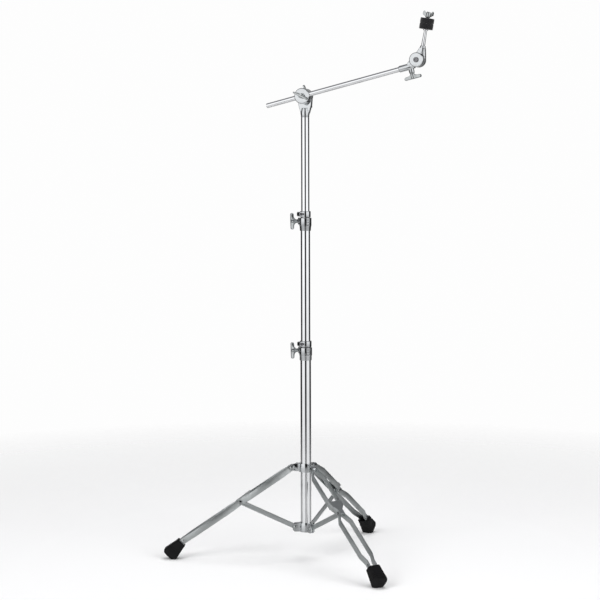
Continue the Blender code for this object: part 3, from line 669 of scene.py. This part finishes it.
def make_feet():
    """Ribbed rubber boots, each cut level where it stands, with a rivet pair above."""
    bands = boot_bands()
    for name in LEGS:
        node = f"rubber_foot_{name}"
        deselect()
        bpy.ops.mesh.primitive_plane_add(size=2.0)
        boot = bpy.context.object
        edit()
        bpy.ops.mesh.select_all(action="SELECT")
        depth, half_x, half_y = bands[0]
        bpy.ops.transform.resize(value=(half_x * MM, half_y * MM, 1.0),
                                 center_override=(0.0, 0.0, 0.0))
        bpy.ops.mesh.bevel(offset=BOOT_CORNER * MM, segments=6, affect="VERTICES")
        for new_depth, new_x, new_y in bands[1:]:
            bpy.ops.mesh.extrude_region_move(TRANSFORM_OT_translate={
                "value": (0.0, 0.0, (new_depth - depth) * MM)})
            bpy.ops.transform.resize(value=(new_x / half_x, new_y / half_y, 1.0),
                                     center_override=(0.0, 0.0, new_depth * MM))
            depth, half_x, half_y = new_depth, new_x, new_y
        bpy.ops.mesh.select_all(action="SELECT")
        bpy.ops.mesh.normals_make_consistent(inside=False)
        # The socket that the strips go into
        choose_faces(boot, lambda f: f.normal.z < -0.9 and
                     abs(f.calc_center_median().z) < 0.1 * MM)
        bpy.ops.mesh.inset(thickness=SOCKET_INSET * MM)
        bpy.ops.mesh.extrude_region_move(
            TRANSFORM_OT_translate={"value": (0.0, 0.0, SOCKET_DEPTH * MM)})
        deselect()
        place = boot_frame(name)
        settle(boot, place)
        only(boot)
        edit()
        bpy.ops.mesh.select_all(action="SELECT")
        bpy.ops.mesh.bisect(plane_co=(0.0, 0.0, 0.0), plane_no=(0.0, 0.0, -1.0),
                            use_fill=True, clear_outer=True)
        deselect()
        soften(boot, 0.5, 50.0, 2)
        show(boot, f"{node}_boot", node, node)
        side = UP.cross(leg_plane(name))
        seat = along(place, z=-8.0).translation
        for label, sign in (("a", 1.0), ("b", -1.0)):
            head = turned([(3.2, 11.2), (3.4, 11.5), (3.0, 12.4), (1.6, 12.9), (0.3, 13.0)],
                          SMALL)
            settle(head, facing(seat, side * sign, UP))
            show(head, f"foot_rivet_{name}_{label}", f"knee_rivet_{name}")


# ---------------------------------------------------------------- fasteners

def threaded(radius, low, high, pitch=1.25):
    """The ridges of a thread, as close turned rings."""
    outline, z = [(radius * 0.82, low)], low
    while z + pitch < high:
        outline += [(radius, z + pitch * 0.5), (radius * 0.86, z + pitch)]
        z += pitch
    return turned(outline + [(radius * 0.82, high)], SMALL)


def tee_handle(node, place, shank_r, shank, stem, half_span, head):
    """A T-handled bolt: threaded shank, turned collar and cast handle."""
    flange, neck, top = shank_r + 2.6, shank_r + 1.7, stem + head
    shaft = turned([(flange * 0.8, 0.0), (flange, 0.4), (flange, 1.8), (neck, 3.2),
                    (neck * 0.86, stem * 0.6), (neck, stem), (neck, top - 1.6),
                    (neck * 0.5, top - 0.9)], SMALL)
    thread = threaded(shank_r, -shank, 0.2)
    handle = wing((1.0, -1.0), [
        (neck * 0.8, stem * 0.45, top, 5.4), (neck + 1.4, stem * 0.75, top, 5.2),
        (neck + 5.0, stem - 0.8, top, 4.6), (half_span - 2.5, stem, top, 4.6),
        (half_span, stem + 2.2, top - 2.0, 3.6)])
    bolt = joined(shaft, thread, handle)
    settle(bolt, place)
    return show(bolt, f"{node}_cast", node, node)


def widest_way(node, axis, origin):
    """The direction across an axis in which a node reaches farthest."""
    best, reach = None, 0.0
    for vertex in frame["nodes"][node].data.vertices:
        arm = vertex.co - origin
        arm -= axis * arm.dot(axis)
        if arm.length > reach:
            best, reach = arm.normalized(), arm.length
    return best


def handle_place(node, axis, seat):
    """A handle's frame, with Z out of its seat and X along its wings."""
    return facing(seat, axis, widest_way(node, axis, seat))


def seat_of(node, axis, origin, above):
    """The point on an axis at a distance below a node's far end, in millimetres."""
    far = max((v.co - origin).dot(axis) for v in frame["nodes"][node].data.vertices)
    return origin + axis * (far - above * MM)


def make_tee_bolts():
    """All the T-handled bolts."""
    for node, joint, sizes in (
            ("collar_tee_bolt", "collar_bolt_turn", (4.0, 13.3, 12.0, 22.0, 9.5)),
            ("lower_tee_bolt", "lower_bolt_turn", (3.4, 19.0, 14.2, 22.0, 9.2)),
            ("upper_tee_bolt", "upper_bolt_turn", (3.4, 19.0, 14.2, 22.0, 9.2)),
            ("boom_tee_bolt", "boom_bolt_turn", (4.0, 3.5, 6.0, 22.0, 8.0)),
            ("tilter_tee_bolt", "tilter_bolt_turn", (4.0, 9.5, 9.0, 23.0, 8.4))):
        axis, origin = joint_axis(joint), joint_point(joint)
        seat = seat_of(node, axis, origin, sizes[2] + sizes[4])
        tee_handle(node, handle_place(node, axis, seat), *sizes)


def bored_wings(node, place, bore, boss, height, half_span, low, high):
    """A wing nut: a turned boss with an open bore and two cast wings."""
    ring = turned([(bore, 0.0), (boss * 0.92, 0.0), (boss, 0.8), (boss * 0.92, height * 0.55),
                   (boss * 0.76, height - 0.6), (boss * 0.70, height), (bore, height)],
                  MEDIUM, ring=True)
    wings = [wing((side,), [
        (boss * 0.88, low * 0.5, height * 0.8, 5.0), (boss + 1.0, low * 0.6, height * 0.9, 4.6),
        (half_span * 0.72, low, high - 0.3, 4.2), (half_span - 2.6, low + 0.9, high, 4.2),
        (half_span, low + 2.6, high - 2.4, 3.4)]) for side in (1.0, -1.0)]
    nut = joined(ring, *wings)
    settle(nut, place)
    return show(nut, f"{node}_cast", node, node)


# ---------------------------------------------------------------- height clamps

def make_height_clamps():
    """Both height clamps: castings, hinge pins, bushings and memory locks."""
    for level in LEVELS:
        for part in ("clamp_body", "clamp_jaw", "memory_lock"):
            node = f"{level}_{part}"
            show(refined(node, 0.55), f"{node}_cast", node, node)
        node = f"{level}_hinge_pin"
        low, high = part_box(node)
        half = (high.z - low.z) / 2 / MM
        pin = turned([(1.2, -half), (1.6, -half + 0.4), (1.6, half - 1.6),
                      (2.8, half - 1.5), (2.8, half - 0.7), (2.1, half - 0.1),
                      (0.4, half)], SMALL)
        settle(pin, facing((low + high) / 2, UP, OUT))
        show(pin, f"{node}_headed", node, node)
        node = f"{level}_bushing"
        show(refined(node, 0.25), f"{node}_moulded", node, node)
        make_key_bolt(level)


def make_key_bolt(level):
    """A square-headed drum-key bolt through the memory lock's ears."""
    node = f"{level}_key_bolt"
    angle = math.radians(LOCK_AZIMUTH)
    way = Vector((-math.sin(angle), math.cos(angle), 0.0))
    end = seat_of(node, way, middle(node), 0.0)
    shaft = turned([(4.0, -6.3), (4.3, -6.0), (4.3, -4.5), (3.6, -3.6), (3.0, -3.3)], SMALL)
    thread = threaded(2.2, -21.6, -6.2, 0.8)
    deselect()
    bpy.ops.mesh.primitive_cube_add(size=1.0)
    head = bpy.context.object
    edit()
    bpy.ops.mesh.select_all(action="SELECT")
    bpy.ops.transform.resize(value=(4.4 * MM, 4.4 * MM, 3.2 * MM),
                             center_override=(0.0, 0.0, 0.0))
    bpy.ops.transform.translate(value=(0.0, 0.0, -2.1 * MM))
    choose_faces(head, lambda f: f.normal.z > 0.9)
    bpy.ops.mesh.inset(thickness=0.6 * MM)
    bpy.ops.transform.translate(value=(0.0, 0.0, 0.5 * MM))
    deselect()
    soften(head, 0.3, 30.0)
    bolt = joined(shaft, thread, head)
    settle(bolt, facing(end, way, UP))
    show(bolt, f"{node}_square", node, node)


# ---------------------------------------------------------------- boom joint and tilter

def toothed_ring(radius, low, high, teeth, depth):
    """A band of ratchet teeth about Z: every other edge is drawn in."""
    deselect()
    bpy.ops.mesh.primitive_cylinder_add(vertices=teeth * 2, radius=radius * MM,
                                        depth=(high - low) * MM,
                                        location=(0.0, 0.0, (low + high) / 2 * MM))
    band = bpy.context.object
    edit()
    bpy.ops.mesh.select_all(action="DESELECT")
    bm = bmesh.from_edit_mesh(band.data)
    for vertex in bm.verts:
        angle = math.atan2(vertex.co.y, vertex.co.x) % math.tau
        vertex.select_set(round(angle / math.tau * teeth * 2) % 2 == 0)
    bmesh.update_edit_mesh(band.data)
    scale = (radius - depth) / radius
    bpy.ops.transform.resize(value=(scale, scale, 1.0), center_override=(
        0.0, 0.0, (low + high) / 2 * MM))
    deselect()
    return band


def make_boom_joint():
    """The joint's two castings, its eye bolt, ratchet teeth and wing nut."""
    for node, name in (("boom_neck", "boom_neck_cast"), ("boom_clamp", "boom_clamp_cast"),
                       ("boom_eye_bolt", "boom_eye_bolt_forged")):
        show(refined(node, 0.8), name, node, node)
    upright = facing(joint_point("boom_tilt"), OUT, UP)
    teeth = toothed_ring(20.15, -6.4, 3.6, settings().teeth, 0.7)
    settle(teeth, upright)
    show(teeth, "boom_neck_teeth", "boom_neck", degrees=20.0)
    back = -OUT
    origin = joint_point("boom_tilt")
    place = handle_place("boom_wing_nut", back, origin + back * 9.8 * MM)
    bored_wings("boom_wing_nut", place, 6.3, 9.4, 13.0, 32.0, 4.4, 14.6)


def make_tilter():
    """The tilter's castings, its socket screw and ratchet teeth."""
    for node in ("tilter_base", "tilter_head"):
        show(refined(node, 0.7), f"{node}_cast", node, node)
    teeth = toothed_ring(18.75, -2.6, 8.6, settings().teeth, 0.6)
    settle(teeth, TILTER_FRAME)
    show(teeth, "tilter_head_teeth", "tilter_head", degrees=20.0)
    screw = turned([(6.4, -9.4), (6.8, -9.0), (6.8, -4.8), (4.0, -4.8), (4.0, 28.3),
                    (6.2, 28.3), (6.6, 28.7), (6.6, 30.6), (5.9, 31.4)], MEDIUM)
    only(screw)
    edit()
    choose_faces(screw, lambda f: f.normal.z > 0.9 and
                 f.calc_center_median().z > 31.0 * MM)
    bpy.ops.mesh.inset(thickness=2.6 * MM)
    bpy.ops.mesh.extrude_region_move(
        TRANSFORM_OT_translate={"value": (0.0, 0.0, -2.0 * MM)})
    deselect()
    settle(screw, TILTER_FRAME)
    show(screw, "tilter_screw_socket", "tilter_screw", "tilter_screw")


# ---------------------------------------------------------------- cymbal rod

def stack_frame():
    """The cymbal rod's axis, with its zero where the tilter's pivot is."""
    return facing(STACK_TOP - STACK_WAY * STACK_HEIGHT * MM, STACK_WAY, OUT)


def make_cymbal_rod():
    """The rod with its thread, the cup washer, the sleeve and the wing nut."""
    place = stack_frame()
    rod = turned([(4.6, 18.4), (5.0, 19.0), (5.0, 46.0), (4.0, 74.0), (4.0, 77.4),
                  (6.2, 77.4), (6.6, 77.8), (6.6, 79.6), (6.2, 80.0), (3.0, 80.0),
                  (2.9, 80.6), (2.9, 108.0)], MEDIUM)
    thread = threaded(3.0, 107.5, 122.6, 1.0)
    rod = joined(rod, thread)
    settle(rod, place)
    show(rod, "cymbal_rod_threaded", "cymbal_rod", "cymbal_rod")
    cup = turned([(3.4, 80.3), (16.0, 80.6), (18.2, 81.2), (18.8, 81.8), (18.4, 82.2),
                  (3.4, 82.2)], MEDIUM, ring=True)
    settle(cup, place)
    show(cup, "cup_washer_pressed", "cup_washer", "cup_washer")
    sleeve = turned([(3.3, 82.5), (5.2, 82.5), (5.2, 109.4), (4.8, 110.0), (3.3, 110.0)],
                    MEDIUM, ring=True)
    settle(sleeve, place)
    show(sleeve, "cymbal_sleeve_moulded", "cymbal_sleeve", "cymbal_sleeve")
    nut_place = handle_place("top_wing_nut", STACK_WAY, STACK_TOP)
    bored_wings("top_wing_nut", nut_place, 3.3, 6.4, 15.0, 14.2, 4.6, 17.2)


def make_felts():
    """Two pressed felts with nearly straight sides and a matted surface."""
    place = stack_frame()
    low = FELT_START
    for node in ("lower_felt", "upper_felt"):
        high = low + FELT_THICK
        felt = turned([(5.6, low + 0.5), (6.4, low), (15.0, low), (17.2, low + 0.05),
                       (17.8, low + 0.5), (17.95, low + 3.0), (18.0, low + 6.6),
                       (17.95, high - 3.0), (17.8, high - 0.5), (17.2, high - 0.05),
                       (15.0, high), (6.4, high), (5.6, high - 0.5)], FINE, ring=True)
        modifier(felt, "SUBSURF", levels=1, render_levels=1)
        fuzz = bpy.data.textures.new(f"{node} matting", "CLOUDS")
        fuzz.noise_scale = 0.0016
        modifier(felt, "DISPLACE", texture=fuzz, texture_coords="GLOBAL",
                 strength=settings().felt_fuzz, mid_level=0.5)
        settle(felt, place)
        show(felt, f"{node}_pressed", node, node, degrees=60.0)
        low = high + FELT_GAP


# ---------------------------------------------------------------- studio

def make_studio():
    """A pale floor, studio light and the camera."""
    deselect()
    bpy.ops.mesh.primitive_circle_add(vertices=96, radius=9.0, fill_type="NGON",
                                      location=(MAST.x, 0.0, -0.0004))
    floor = bpy.context.object
    floor.name = "studio_floor"
    material, shader = new_finish("pale studio floor", 0.0)
    shader.inputs["Base Color"].default_value = (*settings().floor_colour, 1.0)
    shader.inputs["Roughness"].default_value = 0.9
    nodes, links = material.node_tree.nodes, material.node_tree.links
    where = nodes.new("ShaderNodeTexCoord")
    length = nodes.new("ShaderNodeVectorMath")
    length.operation = "LENGTH"
    links.new(where.outputs["Object"], length.inputs[0])
    fade = spread(nodes, links, length.outputs["Value"], 0.75, 2.4, 1.0, 0.0)
    # Polished metal sees a thinner floor, with the room's screens through it
    ray, share = nodes.new("ShaderNodeLightPath"), nodes.new("ShaderNodeMath")
    share.operation = "MULTIPLY"
    links.new(spread(nodes, links, ray.outputs["Is Glossy Ray"], 0.0, 1.0, 1.0, 0.42),
              share.inputs[0])
    links.new(fade, share.inputs[1])
    links.new(share.outputs[0], shader.inputs["Alpha"])
    floor.data.materials.append(material)
    make_world()
    for name, place, size, power in (
            ("key softbox", (-2.2, -2.6, 2.6), 1.8, 60.0),
            ("fill softbox", (2.6, -2.2, 2.0), 1.8, 40.0),
            ("top softbox", (0.2, 0.4, 3.4), 2.4, 60.0)):
        deselect()
        bpy.ops.object.light_add(type="AREA", location=place)
        lamp = bpy.context.object
        lamp.name = name
        lamp.data.size = size
        lamp.data.energy = power * settings().light
        lamp.visible_glossy = False
        aim = Vector((MAST.x, 0.0, 0.75)) - Vector(place)
        lamp.rotation_euler = aim.to_track_quat("-Z", "Y").to_euler()
    deselect()
    bpy.ops.object.camera_add(
        location=(MAST.x - CAMERA_OFFSET, -CAMERA_DISTANCE, CAMERA_HEIGHT),
        rotation=(math.radians(90.0 - CAMERA_DIP), math.radians(CAMERA_ROLL), 0.0))
    camera = bpy.context.object
    camera.name = "studio camera"
    camera.data.sensor_width = 36.0
    camera.data.lens = settings().lens
    bpy.context.scene.camera = camera
    bpy.context.scene.view_settings.view_transform = "Standard"


def make_world():
    """A room of bright and dark screens to reflect, on a plain pale background."""
    world = bpy.data.worlds.new("studio")
    bpy.context.scene.world = world
    world.use_nodes = True
    nodes, links = world.node_tree.nodes, world.node_tree.links
    nodes.clear()
    seen, lit = nodes.new("ShaderNodeBackground"), nodes.new("ShaderNodeBackground")
    where = nodes.new("ShaderNodeTexCoord")
    split = nodes.new("ShaderNodeSeparateXYZ")
    links.new(where.outputs["Generated"], split.inputs["Vector"])
    forward = nodes.new("ShaderNodeMath")
    forward.operation = "MULTIPLY"
    forward.inputs[1].default_value = -1.0
    links.new(split.outputs["Y"], forward.inputs[0])
    angle = nodes.new("ShaderNodeMath")
    angle.operation = "ARCTAN2"
    links.new(split.outputs["X"], angle.inputs[0])
    links.new(forward.outputs[0], angle.inputs[1])
    # Round the room, from straight behind on the left to straight behind on the right
    turn = spread(nodes, links, angle.outputs[0], -math.pi, math.pi, 0.0, 1.0)
    ramp = nodes.new("ShaderNodeValToRGB")
    bands = [(0.0, 0.42), (0.07, 0.30), (0.12, 0.02), (0.245, 0.02), (0.285, 1.20),
             (0.435, 1.20), (0.465, 0.0), (0.535, 0.0), (0.565, 1.15), (0.715, 1.15),
             (0.755, 0.02), (0.88, 0.02), (0.93, 0.30), (1.0, 0.42)]
    elements = ramp.color_ramp.elements
    for index, (position, level) in enumerate(bands):
        if index < 2:
            element = elements[index]
            element.position = position
        else:
            element = elements.new(position)
        element.color = (level, level, level * 1.01, 1.0)
    links.new(turn, ramp.inputs["Fac"])
    # The ceiling is an even grey, and the screens are dimmer below the horizon
    height = spread(nodes, links, split.outputs["Z"], 0.50, 0.75, 0.0, 1.0)
    ceiling = nodes.new("ShaderNodeMix")
    ceiling.data_type = "RGBA"
    ceiling.inputs["B"].default_value = (0.22, 0.22, 0.23, 1.0)
    links.new(height, ceiling.inputs["Factor"])
    links.new(ramp.outputs["Color"], ceiling.inputs["A"])
    links.new(spread(nodes, links, split.outputs["Z"], -0.30, -0.04, 0.5, 1.0),
              lit.inputs["Strength"])
    seen.inputs["Color"].default_value = (*settings().backdrop, 1.0)
    links.new(ceiling.outputs["Result"], lit.inputs["Color"])
    ray, mixed = nodes.new("ShaderNodeLightPath"), nodes.new("ShaderNodeMixShader")
    out = nodes.new("ShaderNodeOutputWorld")
    links.new(ray.outputs["Is Camera Ray"], mixed.inputs["Fac"])
    links.new(lit.outputs["Background"], mixed.inputs[1])
    links.new(seen.outputs["Background"], mixed.inputs[2])
    links.new(mixed.outputs["Shader"], out.inputs["Surface"])


# ---------------------------------------------------------------- add-on

def colour(label, about, default):
    """A colour property."""
    return FloatVectorProperty(name=label, description=about, subtype="COLOR", size=3,
                               min=0.0, max=1.0, default=default)


class BoomStandSettings(bpy.types.PropertyGroup):
    """Sizes and colours of the stand's finish."""
    tube_tint: colour("Tube chrome", "Tint of the polished tubes", (0.86, 0.87, 0.88))
    cast_tint: colour("Cast chrome", "Tint of the plated castings", (0.63, 0.65, 0.66))
    handle_tint: colour("Handles", "Tint of the plated handles and pins",
                        (0.48, 0.50, 0.50))
    bar_tint: colour("Flat bar", "Tint of the legs' flat bar", (0.63, 0.66, 0.66))
    rubber_colour: colour("Rubber", "Colour of the feet", (0.0035, 0.0035, 0.004))
    felt_colour: colour("Felt", "Colour of the felts", (0.007, 0.007, 0.008))
    floor_colour: colour("Floor", "Colour of the floor", (0.95, 0.95, 0.95))
    backdrop: colour("Backdrop", "Colour behind the stand", (0.985, 0.985, 0.985))
    felt_fuzz: FloatProperty(name="Felt matting", description="Depth of the felt's matting",
                             default=0.0005, min=0.0, max=0.002, unit="LENGTH")
    foot_ribs: IntProperty(name="Foot ribs", description="Moulded bands round each foot",
                           default=3, min=0, max=5)
    teeth: IntProperty(name="Ratchet teeth", description="Teeth round each ratchet",
                       default=44, min=12, max=90)
    lens: FloatProperty(name="Lens", description="The camera's focal length in mm",
                        default=100.9, min=20.0, max=300.0)
    light: FloatProperty(name="Light", description="Share of the lamps' full power",
                         default=1.0, min=0.0, max=5.0, subtype="FACTOR")


class BuildTubes(bpy.types.Operator):
    """Build the mast's three tubes and the boom"""
    bl_idname = "boom_stand.tubes"
    bl_label = "Build Tubes"

    def execute(self, context):
        make_tubes()
        return {"FINISHED"}


class BuildCollars(bpy.types.Operator):
    """Build the tripod's fixed and sliding collars"""
    bl_idname = "boom_stand.collars"
    bl_label = "Build Collars"

    def execute(self, context):
        make_collars()
        return {"FINISHED"}


class BuildLegs(bpy.types.Operator):
    """Build the legs' flat bars, braces, saddles and rivets"""
    bl_idname = "boom_stand.legs"
    bl_label = "Build Legs"

    def execute(self, context):
        make_legs()
        return {"FINISHED"}


class BuildFeet(bpy.types.Operator):
    """Build the ribbed rubber feet"""
    bl_idname = "boom_stand.feet"
    bl_label = "Build Feet"

    def execute(self, context):
        make_feet()
        return {"FINISHED"}


class BuildClamps(bpy.types.Operator):
    """Build both height clamps and their memory locks"""
    bl_idname = "boom_stand.clamps"
    bl_label = "Build Height Clamps"

    def execute(self, context):
        make_height_clamps()
        return {"FINISHED"}


class BuildTeeBolts(bpy.types.Operator):
    """Build every T-handled bolt"""
    bl_idname = "boom_stand.tee_bolts"
    bl_label = "Build T-Bolts"

    def execute(self, context):
        make_tee_bolts()
        return {"FINISHED"}


class BuildBoomJoint(bpy.types.Operator):
    """Build the joint that tilts the boom"""
    bl_idname = "boom_stand.boom_joint"
    bl_label = "Build Boom Joint"

    def execute(self, context):
        make_boom_joint()
        return {"FINISHED"}


class BuildTilter(bpy.types.Operator):
    """Build the cymbal tilter"""
    bl_idname = "boom_stand.tilter"
    bl_label = "Build Tilter"

    def execute(self, context):
        make_tilter()
        return {"FINISHED"}


class BuildCymbalRod(bpy.types.Operator):
    """Build the cymbal rod, its washer, sleeve and wing nut"""
    bl_idname = "boom_stand.cymbal_rod"
    bl_label = "Build Cymbal Rod"

    def execute(self, context):
        make_cymbal_rod()
        return {"FINISHED"}


class BuildFelts(bpy.types.Operator):
    """Build the two pressed felts"""
    bl_idname = "boom_stand.felts"
    bl_label = "Build Felts"

    def execute(self, context):
        make_felts()
        return {"FINISHED"}


class BuildStudio(bpy.types.Operator):
    """Build the floor, the light and the camera"""
    bl_idname = "boom_stand.studio"
    bl_label = "Build Studio"

    def execute(self, context):
        make_studio()
        return {"FINISHED"}


OPERATORS = (BuildTubes, BuildCollars, BuildLegs, BuildFeet, BuildClamps, BuildTeeBolts,
             BuildBoomJoint, BuildTilter, BuildCymbalRod, BuildFelts,
             BuildStudio)


class BoomStandPanel(bpy.types.Panel):
    """The stand's settings and build steps, in the sidebar"""
    bl_idname = "VIEW3D_PT_boom_stand"
    bl_label = "Boom Stand"
    bl_space_type = "VIEW_3D"
    bl_region_type = "UI"
    bl_category = "Boom Stand"

    def draw(self, context):
        values = context.scene.boom_stand
        for name in BoomStandSettings.__annotations__:
            self.layout.prop(values, name)
        for step in OPERATORS:
            self.layout.operator(step.bl_idname)


CLASSES = (BoomStandSettings, *OPERATORS, BoomStandPanel)


def register():
    """Add the settings, operators and panel."""
    for each in CLASSES:
        bpy.utils.register_class(each)
    bpy.types.Scene.boom_stand = PointerProperty(type=BoomStandSettings)


def unregister():
    """Remove what register added."""
    del bpy.types.Scene.boom_stand
    for each in reversed(CLASSES):
        bpy.utils.unregister_class(each)


def main():
    """Build the stand in order."""
    register()
    for step in OPERATORS:
        group, _, name = step.bl_idname.partition(".")
        getattr(getattr(bpy.ops, group), name)()


if __name__ == "__main__":
    main()
